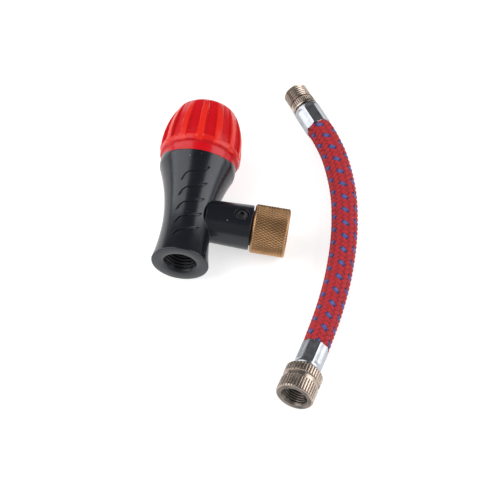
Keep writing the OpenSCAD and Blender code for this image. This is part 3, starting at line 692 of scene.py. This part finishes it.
def ferrule(name, foot_x, place, paint, replaced):
    """A crimped sleeve that starts at foot_x along its hose end."""
    top = foot_x + ferrule_len
    piece = turned(name, [(2.9, foot_x), (3.55, foot_x), (3.86, foot_x + 0.07),
                          (4.05, foot_x + 0.22), *rows(ferrule_r, foot_x + 0.42, top - 0.12, 0.2),
                          (ferrule_r - 0.05, top), (3.72, top), (3.5, top - 0.5),
                          (3.5, foot_x + 0.8), (2.9, foot_x + 0.8)], steps=160)

    def crimp(angle, radius, height):
        if radius < 3.95:
            return 0
        ridge = wave(angle / jaw)
        return (1 - ridge ** 1.75) * between(height, foot_x + ferrule_round, top + 1, 0.9)
    pressed(piece, ferrule_r - ferrule_flat_r, crimp, shade_grooves=False)
    for point in piece.data.vertices:
        if point.co.z > top - 0.15:
            point.co.z -= 0.30 * wave(angle_of(point.co) / jaw) ** 2
    return finished(coated(piece, paint), place, "hose", [replaced], 34)


male_ferrule = ferrule("male_sleeve", 8.3, male, zinc_male, "male_ferrule")
female_ferrule = ferrule("female_sleeve", 9.8, female, zinc_female, "female_ferrule")

# %% [markdown]
# ## The male end
# The hose screws into the head's chuck with this end: a valve thread with a
# bevelled start, a relief, a knurled collar with a plain rim, and behind it the
# barbed shank that the hose is pressed on.  The thread and the knurl are
# pressed into the turned blank.

# %% Male fitting
valve_pitch = 25.4 / 32
male_outline = [(1.2, 0), (3.3, 0), (3.42, 0.04), (3.62, 0.3), *rows(3.85, 0.55, 4.85, 0.1),
                (3.45, 4.95), (3.45, 5.25), (3.72, 5.3), (3.86, 5.42),
                *rows(3.9, 5.5, 7.05, 0.15), (3.74, 7.1), (3.74, 7.2), (3.97, 7.27),
                (4.0, 7.4), (4.0, 7.85), (3.92, 8.0), (2.85, 8.0), (2.85, 9.0), (2.15, 9.0),
                (1.95, 9.6), (2.15, 11.2), (1.95, 11.8), (2.15, 13.4), (1.95, 14.0),
                (1.95, 15.9), (1.2, 15.9)]
grip_teeth = 38


def teeth(angle, count, steepness, land):
    """The share of straight teeth round a piece: 0 on a tooth and 1 in a groove."""
    return max(0, min(1, steepness * wave(angle / 360 * count) - land))


male_fitting = turned("threaded_end", male_outline, steps=grip_teeth * 8)
pressed(male_fitting, 0.36, thread(valve_pitch, 3.85, 0.75, 4.7))
pressed(male_fitting, 0.28, lambda angle, r, z: (
    between(z, 5.45, 7.1, 0.12) * (abs(r - 3.9) < 0.02) * teeth(angle, grip_teeth, 2.4, 0.9)))
finished(coated(male_fitting, nickel_male), male, "hose", ["male_fitting"], 38)

# %% [markdown]
# ## The coupling nut
# The nut turns freely on the hose's tail.  Two knurled bands with a plain
# groove between them give the fingers a grip.  Inside it has the same valve
# thread, cut from the mouth inwards, with a relief behind it.

# %% Coupling nut
nut_outline = [(3.95, 0), (5.1, 0), (5.32, 0.05), (5.44, 0.18),
               *rows(5.57, 0.35, 4.3, 0.25), (5.45, 4.42), (5.2, 4.5), (5.2, 5.85),
               (5.45, 5.95), *rows(5.57, 6.1, 8.65, 0.25), (5.4, 8.8), (5.1, 9.0),
               (4.7, 9.42), (4.55, 9.5), (2.9, 9.5), (2.9, 7.9), (3.8, 7.9), (3.8, 4.35),
               *rows(3.45, 4.3, 0.5, 0.1)]
coupling_nut = turned("knurled_nut", nut_outline, steps=grip_teeth * 10)
pressed(coupling_nut, 0.34, lambda angle, r, z: (
    (abs(r - 5.57) < 0.02) * (between(z, 0.3, 4.35, 0.1) + between(z, 6.05, 8.7, 0.2))
    * teeth(angle, grip_teeth, 2.6, 1.45)))
pressed(coupling_nut, 0.32, thread(valve_pitch, 3.45, 0.5, 4.2))


def coated_inside(piece, wanted):
    """Gives the second finish to the faces that pass a test on radius and height."""
    for face in piece.data.polygons:
        face.material_index = int(wanted(off_axis(face.center), face.center.z))


coated(coupling_nut, nickel_female, shaded_nut_bore)
# The nut's front face and its inside get the darker finish: painted shade.
coated_inside(coupling_nut, lambda r, z: z < 0.02 or r < 3.9 and z < 9)
finished(coupling_nut, female, "nut", ["coupling_nut"], 38)

# %% [markdown]
# ## The head's body
# The body is turned with its hollow inside: the threaded cartridge socket at
# the foot, the valve chamber, and the seat for the gland nut.  The branch is a
# second turned piece, joined to it by a boolean union, so both meet in the
# crisp line that two castings' surfaces have.  Bores and the leaf-shaped grip
# recesses are cut with booleans as well.
# The rim dips at the front and the back, where the knob's skirt shows, and
# rises on both sides to the knob's lip, so its points are lowered by a factor
# that follows the fourth power of the cosine round the axis.

# %% Body blank
foot_r, waist_r, waist_z, top_r, body_h = 8.5, 7.28, 12.5, 11.25, 32.9
foot_bevel, top_bevel = 0.3, 0.4
wing_top = 35.7


def side_r(z):
    """The body's radius at a height: two parabolas that meet at the waist."""
    end_r, end_z = (foot_r, foot_bevel) if z < waist_z else (top_r, body_h - top_bevel)
    return waist_r + (end_r - waist_r) * ((z - waist_z) / (end_z - waist_z)) ** 2


def body_side(inset, count=90):
    """Outline points up the body's curved side."""
    span = body_h - top_bevel - foot_bevel
    heights = [foot_bevel + span * i / count for i in range(count + 1)]
    return [(side_r(z) - inset, z) for z in heights]


body_outline = [(5.45, 0), (6.6, 0), (foot_r - foot_bevel, 0), (8.4, 0.08), *body_side(0),
                (11.32, body_h), (11.37, 33.4), (11.39, 34.2), (11.38, 34.9), (11.3, 35.35),
                (11.15, 35.6), (11.0, wing_top), (10.88, 35.6), (10.85, 35.3), (10.85, 34.2),
                (10.85, body_h), (9.62, body_h), (9.62, 35.4), (8.32, 35.4),
                (8.32, body_h), (6.05, body_h), (6.05, 25), (3, 25), (3, 14.6), (0.75, 14.6),
                (0.75, 13.6), (4, 13.6), (4, 10.3), (4.65, 10.3), (4.65, 5.55),
                *rows(4.35, 5.5, 1.05, 0.13), (4.72, 0.62), (4.95, 0.3), (5.2, 0.09)]
body = turned("cast_body", body_outline, steps=192)
cartridge_pitch = 25.4 / 24
pressed(body, 0.42, thread(cartridge_pitch, 4.35, 1.1, 5.4))
for point in body.data.vertices:
    if point.co.z > body_h and off_axis(point.co) > 10.5:
        side = (point.co.x / off_axis(point.co)) ** 4
        point.co.z = body_h + (point.co.z - body_h) * (0.14 + 0.86 * side)
print("rim height:", round(wing_top - body_h, 1), "mm at the sides")

# %% Branch blank
branch_outline = [(0, 5.2), (6.3, 5.2), *[(6.12 + 0.62 * z / 18.5, z) for z in range(6, 18)],
                  (6.74, 18.5), (6.68, 18.72), (6.5, 18.85), (0, 18.85)]
branch_blank = turned("branch_blank", branch_outline, steps=144, closed=False)
branch_blank.data.transform(to_branch)
carved(body, branch_blank, "UNION")
print("body after the union:", len(body.data.polygons), "faces")

# %% [markdown]
# A leaf is a bowed line that swells upwards on its left and downwards on its
# right, like a bird's wing.  Its prism is cut back by a copy of the body that is
# a little smaller, so what is left is a thin tool that follows the body's
# curve, and the recess gets the same depth everywhere.

# %% Leaf recesses
leaf_half, leaf_bow, leaf_line, leaf_depth = 4.75, 0.42, 0.20, 0.36
left_lobe, right_lobe = 0.85, 0.62
leaf_low, leaf_pitch, leaf_tilt = 7.05, 4.88, 34


def leaf_edge(u, sign):
    """Height of a leaf's upper (+1) or lower (-1) edge at a place along it."""
    share = min(1, abs(u) / leaf_half)
    lobe, lean = (left_lobe, 0.95) if u < 0 else (right_lobe, 1.3)
    swell = lobe * math.sin(math.pi * share ** lean)
    return leaf_bow * math.cos(math.pi / 2 * u / leaf_half) + sign * (
        leaf_line / 2 * (1 - share ** 6) + (swell if u * sign < 0 else 0))


def leaf_prism(height, front):
    """One leaf as a prism that reaches out through the body's side."""
    prism = plane("leaf")
    tilt = math.radians(leaf_tilt if front else -leaf_tilt)
    us = [leaf_half * (i / 16 - 1) for i in range(33)]
    with editing(prism):
        pull([(u, leaf_edge(u, 1)) for u in us] + [(u, leaf_edge(u, -1)) for u in us[::-1]])
        bpy.ops.mesh.select_all(action="SELECT")
        bpy.ops.mesh.edge_face_add()
        bpy.ops.mesh.extrude_region_move(TRANSFORM_OT_translate={"value": (0, -14, 0)})
        outwards()
    prism.data.transform(Matrix.Rotation(0 if front else math.pi, 4, "Z")
                         @ Matrix.Translation((0, -3, height))
                         @ Matrix.Rotation(-tilt, 4, "Y"))
    return prism


def joined(piece, other):
    """Makes another object part of this piece."""
    only(piece)
    other.select_set(True)
    bpy.ops.object.join()
    return piece


leaves = None
for front in (True, False):
    for i in range(5):
        leaf = leaf_prism(leaf_low + leaf_pitch * i, front)
        leaves = joined(leaves, leaf) if leaves else leaf
core = turned("leaf_core", [(0, 0), *body_side(leaf_depth), (0, body_h)], steps=192,
              closed=False)
carved(leaves, core)
carved(body, leaves)
print("body after its leaves:", len(body.data.polygons), "faces")

# %% Branch bore and set screw hole
bore_tool = turned("bore_tool", [(0, 2), (1, 2), (1, 7.6), (3.85, 7.6), (3.85, 18.6),
                                 (4.1, 18.95), (0, 18.95)], closed=False)
bore_tool.data.transform(to_branch)
carved(body, bore_tool)
screw_x = 15.6
to_screw = Matrix.Translation((screw_x, 0, branch_z)) @ Matrix.Rotation(math.pi / 2, 4, "X")
hole_tool = turned("hole_tool", [(0, 2), (2.0, 2), (2.0, 6.25), (2.12, 6.5), (2.12, 7.5),
                                 (0, 7.5)], steps=64, closed=False)
hole_tool.data.transform(to_screw)
carved(body, hole_tool)
# The socket's inside gets the darker finish: painted shade.
coated(body, black_coat, shaded_bore)
coated_inside(body, lambda r, z: r < 4.68 and 0.55 < z < 14)
finished(body, head, "head", ["body"], 32)

# %% [markdown]
# ## The set screw
# A small black screw with a hexagonal socket holds the chuck in the branch.
# Its thread shows as bright arcs round its top.

# %% Set screw
set_screw = turned("set_screw_m4", [(0, 3.05), (0.85, 3.05), (0.9, 3.1), (0.9, 4.1),
                                    (1.75, 4.1), *rows(1.95, 4.3, 5.95, 0.08), (1.72, 6.14),
                                    (1.66, 6.16), (0, 6.16)], steps=64, closed=False)
pressed(set_screw, 0.28, thread(0.7, 1.95, 4.3, 6.1))
key_r = 1.155  # from the middle of a 2 mm key to its corners
key_hole = turned("key_hole", [(0, 4.96), (key_r, 4.96), (key_r, 6.3), (0, 6.3)], steps=6,
                  closed=False)
carved(set_screw, key_hole)
modified(set_screw, "BEVEL", width=0.05, segments=2, limit_method="ANGLE",
         angle_limit=math.radians(40))
finished(coated(set_screw, black_steel), head @ to_screw, "head",
         ["set_screw"], 35)

# %% [markdown]
# ## The knob
# The knob is a moulded cup with fourteen ribs.  The blank is turned to the
# ribs' outline, and the panels between them are pressed in: their depth fades
# out towards the crown, and at the bottom they end on a rounded lip.  The ribs
# cross the lip as small square bumps.  Under the lip the skirt is narrower and
# plain, and turns inside the body's rim.

# %% Knob blank
lip_low, rib_end, lip_crest, lip_top = 36.5, 37.8, 38.4, 39.3
lean_z, knob_top = 40.0, 54.9
lean_r, corner_r, rib_r = 28.9, 4.5, 12.32
corner_z = knob_top - corner_r
lean_x = rib_r - lean_r
corner_x = lean_x + math.sqrt((lean_r - corner_r) ** 2 - (corner_z - lean_z) ** 2)
join_angle = math.asin((corner_z - lean_z) / (lean_r - corner_r))


def arc(x, z, radius, first, last, steps):
    """Outline points along a part of a circle."""
    angles = [first + (last - first) * i / steps for i in range(steps + 1)]
    return [(x + radius * math.cos(a), z + radius * math.sin(a)) for a in angles]


def knob_arcs(inset):
    """The ribs' leaning arc and the corner arc that follows it."""
    lean = arc(lean_x, lean_z, lean_r - inset, 0, join_angle, 40)
    return lean + arc(corner_x, corner_z, corner_r - inset, join_angle, math.pi / 2, 14)[1:]


wall, rib_count = 2.4, 14
knob_outline = [(0, knob_top - wall), *knob_arcs(wall)[::-1], (9.92, 33.25), (9.98, 33.15),
                (10.6, 33.15), (10.68, 33.25), (10.72, 33.7), (10.76, 34.3), (10.82, 34.9),
                (10.9, 35.5), (11.0, 36.0), (11.12, 36.3), (11.32, lip_low), (11.6, 36.68),
                (11.85, 36.9), (12.03, 37.15), (12.16, 37.45), (12.25, 37.8),
                *rows(rib_r, 38.05, 39.92, 0.11), *knob_arcs(0), (3, knob_top),
                (0, knob_top)]
knob = turned("ribbed_knob", knob_outline, steps=rib_count * 24, closed=False)
print("knob blank:", len(knob.data.polygons), "faces")

# %% Knob panels
rib_pitch = 360 / rib_count
rib_share, lip_share = 8.4 / rib_pitch, 0.24
first_rib = -93
fade_low, fade_top = 45.5, 53.2


def off_rib(angle):
    """How far an angle lies from the nearest rib's middle: 0 on it, 1 mid-panel."""
    return wave((angle - first_rib) / rib_pitch)


def panel_share(angle, radius, height):
    """How deep the knob's outside is pressed in: panels, and less on the lip."""
    # The hollow's wall and the skirt stay as they are.
    if radius < 10.2 and height < 50 or radius < 11.7 and height < 40 or height < lip_low:
        return 0
    across = off_rib(angle)
    edge = max(0, min(1, (across - rib_share) / 0.12))
    if height < lip_crest:
        edge = max(edge, between(height, 0, rib_end, 0.15))
        return edge * lip_share * between(height, 37.3, lip_top, 0.8)
    fade = min(1, max(0, (fade_top - height) / (fade_top - fade_low))) ** 0.8
    roll = min(1, (height - lip_crest) / (lip_top - lip_crest))
    lip = lip_share + (1 - lip_share) * (1 - math.sqrt(1 - roll ** 2))
    bowl = 0.88 + 0.12 * min(1, (across - rib_share) / 0.5)
    return edge * fade * lip * bowl


# Painted light: the ribs get the full lighter red for their glow, the lip half of it as a painted highlight.
marks = knob.data.attributes.new("painted_glow", "FLOAT", "POINT")
for point in knob.data.vertices:
    height, radius = point.co.z, off_axis(point.co)
    ribbed = off_rib(angle_of(point.co)) < rib_share + 0.03 and lip_low < height < fade_top
    on_rib = max(0, min(1, (fade_top - height) / 3.5))
    on_lip = 0.5 * between(height, lip_low + 0.4, lip_crest + 0.2, 0.5) * (radius > 11)
    marks.data[point.index].value = on_rib if ribbed and radius > 7 else on_lip
pressed(knob, 1.0, panel_share)
print("ribs:", rib_count, "one every", round(rib_pitch, 1), "degrees")

# %% Knob hub
hub = turned("knob_hub", [(3.45, 41.2), (4.7, 41.2), (5.0, 41.5), (5.0, 52.6), (3.45, 52.6)])
finished(coated(joined(knob, hub), red_knob), head, "knob", ["knob"], 30)

# %% [markdown]
# ## The chuck
# The chuck is brass, with a diamond knurl between two bevels.  Two rows of
# slanted grooves cross each other, and what stands between them is a small
# pyramid.  Seen together, the pyramids' lower faces draw zigzag lines.
# The valve thread is cut inside its mouth, and its spigot turns in the branch.

# %% Chuck
chuck_x, chuck_end = 19.2, 29.75
seal_grooves = (9.8, 11.8)
spigot = [(1.0, 8.6), (3.65, 8.6), (3.8, 8.75)]
for x in seal_grooves:
    spigot += [(3.8, x), (2.55, x), (2.55, x + 1.4), (3.8, x + 1.4)]
spigot += [(3.8, 14.65), (3.0, 14.65), (3.0, 16.55), (3.8, 16.55)]
chuck_outline = spigot + [
    (3.8, chuck_x), (6.7, chuck_x), (6.86, chuck_x + 0.05), (7.2, chuck_x + 0.4),
    *rows(7.34, chuck_x + 0.55, chuck_end - 0.55, 0.115),
    (7.2, chuck_end - 0.4), (6.86, chuck_end - 0.05), (6.7, chuck_end), (3.9, chuck_end),
    *rows(3.5, chuck_end - 0.45, 24.25, 0.1), (3.8, 24.2), (3.8, 22.75), (3.95, 22.75),
    (3.95, 21.75), (2.6, 21.75), (2.6, 21.15), (1.0, 21.15)]
knurl_count, knurl_pitch = 54, 1.66
chuck = turned("knurled_chuck", chuck_outline, steps=knurl_count * 10)


def diamonds(angle, radius, height):
    """The share of two rows of slanted grooves that cross."""
    if abs(radius - 7.34) > 0.02:
        return 0
    around = angle / 360 * knurl_count
    along = (height - chuck_x) / knurl_pitch
    first, second = wave(along - around + 0.5), wave(along + around + 0.5)
    groove = min(1, 1.08 * (1 - min(first, second)))
    return groove * between(height, chuck_x + 0.45, chuck_end - 0.45, 0.15)


pressed(chuck, 0.30, diamonds)
pressed(chuck, 0.32, thread(valve_pitch, 3.5, 24.4, chuck_end - 0.5))
finished(coated(chuck, brass), branch, "chuck", ["chuck"], 38)

# %% [markdown]
# ## Seals and washers
# The washers that show in the mouths of the socket, the chuck and the nut are
# turned with soft rounded edges, as cut rubber has.  A thin slip ring keeps the
# chuck's back from rubbing on the branch.

# %% Washers
def washer(name, outer, inner, low, high, place, body_name, replaced):
    """A flat rubber ring with rounded edges."""
    soft = min(0.15, (high - low) / 4)
    piece = turned(name, [(inner + soft, low), (outer - soft, low), (outer, low + soft),
                          (outer, high - soft), (outer - soft, high), (inner + soft, high),
                          (inner, high - soft), (inner, low + soft)], steps=64)
    finished(coated(piece, rubber), place, body_name, [replaced], 50)


washer("cartridge_ring", 3.94, 1.16, 8.9, 10.3, head, "head", "cartridge_seal")
washer("chuck_ring", 3.9, 1.7, 21.75, 22.75, branch, "chuck", "chuck_washer")
slip_ring = turned("slip_ring", [(3.9, 18.9), (5.2, 18.9), (5.32, 18.97), (5.32, 19.08),
                                 (5.2, 19.15), (3.9, 19.15)])
finished(coated(slip_ring, rubber), branch, "head", (), 50)
washer("tail_ring", 3.42, 1.7, 5.65, 6.85, female, "hose", "tail_washer")
washer("seat_ring", 2.2, 0.02, 14.6, 15.55, head, "valve", "valve_washer")

# %% [markdown]
# ## Inner parts
# The needle, the spindle and the other turned parts inside keep their CAD
# solids, which have the right shapes, and get metal or rubber finishes.

# %% Finishes for the inner parts
inner = {"gland_nut": head_brass, "gland_seal": rubber, "needle_holder": head_brass,
         "piercing_needle": steel, "valve_carrier": head_brass, "spindle": steel,
         "spindle_seal": rubber, "stop_ring": steel, "chuck_seals": rubber, "core_pin": brass,
         "female_tail": nickel_female, "depressor_pin": nickel_female}
for name, paint in inner.items():
    coated(frame["nodes"][name], paint)
print("inner parts:", len(inner))

[0.001 * spot(hose_run * i / 100)[0] for i in range(101)]

# %% [markdown]
# ## Floor and light
# The set lies on a plain pale floor.  Two wide softboxes left and right draw
# the soft lengthwise bands on the black body, and a dark card overhead draws
# the dark band between them.  A second dark card stands behind the set.  Only
# reflections see the cards.
# Camera, glossy and transmission rays see the floor as white, and it still
# takes the object's shadow.

# %% Floor
def seen_white(paint):
    """1 for camera, glossy and transmission rays, and 0 for the others."""
    rays = node(paint, "LightPath").outputs
    total = rays["Is Camera Ray"]
    for name in ("Is Glossy Ray", "Is Transmission Ray"):
        total = node(paint, "Math", {0: total, 1: rays[name]}, operation="MAXIMUM").outputs[0]
    return total


floor = plane("floor", 6)
floor_paint = finish("floor_white", Base_Color=(0.6, 0.6, 0.6, 1), Roughness=0.9,
                     Emission_Color=(1, 1, 1, 1), Specular_IOR_Level=0.0)
glow = node(floor_paint, "Math", {0: seen_white(floor_paint), 1: 0.6}, operation="MULTIPLY")
feed(floor_paint, "Emission Strength", glow.outputs[0])
coated(floor, floor_paint)

# %% World
world = bpy.data.worlds.new("studio")
bpy.context.scene.world = world
world.use_nodes = True
sky = world.node_tree.nodes["Background"]
sky.inputs["Color"].default_value = (1, 1, 1, 1)
sky.inputs["Strength"].default_value = 0.45
print("sky strength:", round(sky.inputs["Strength"].default_value, 2))

# %% Softboxes and cards
def facing(place, aim):
    """A turn whose Z points from an aim to a place."""
    z_way = (Vector(place) - Vector(aim)).normalized()
    level = Vector((0, 1, 0)) if abs(z_way.y) < 0.9 else Vector((0, 0, 1))
    y_way = z_way.cross(level).normalized()
    return Matrix((y_way.cross(z_way), y_way, z_way)).transposed()


def softbox(name, place, aim, wide, long, radiance):
    """A rectangular lamp that shines at a point, with its long side level."""
    only()
    bpy.ops.object.light_add(type="AREA", location=place)
    lamp = bpy.context.object
    lamp.name = name
    lamp.data.shape = "RECTANGLE"
    lamp.data.size, lamp.data.size_y = long, wide
    lamp.data.energy = radiance * math.pi * wide * long
    lamp.rotation_euler = facing(place, aim).to_euler()
    print(name, "watts:", round(lamp.data.energy, 2))


def card(name, place, aim, wide, long, shade):
    """A dark card that only reflections see."""
    sheet = plane(name)
    sheet.data.transform(Matrix.Translation(place) @ facing(place, aim).to_4x4()
                         @ Matrix.Diagonal((long, wide, 1, 1)))
    coated(sheet, finish(name + "_paint", Base_Color=(0, 0, 0, 1), Roughness=1.0,
                         Specular_IOR_Level=0.0, Emission_Color=(1, 1, 1, 1),
                         Emission_Strength=shade))
    sheet.visible_camera = sheet.visible_diffuse = sheet.visible_shadow = False
    sheet.visible_transmission = False


softbox("left_softbox", (-0.45, -0.10, 0.42), (0, -0.1, 0.08), 0.70, 0.80, 2.5)
softbox("right_softbox", (0.47, 0.02, 0.29), (0.02, 0, 0), 0.42, 0.62, 3.0)
card("ceiling_card", (0, 0.6, 0.80), (0, 0.6, 0), 3.0, 2.2, 0.13)
card("back_card", (0, 1.3, 0.43), (0, 0, 0.43), 3.0, 0.74, 0.15)
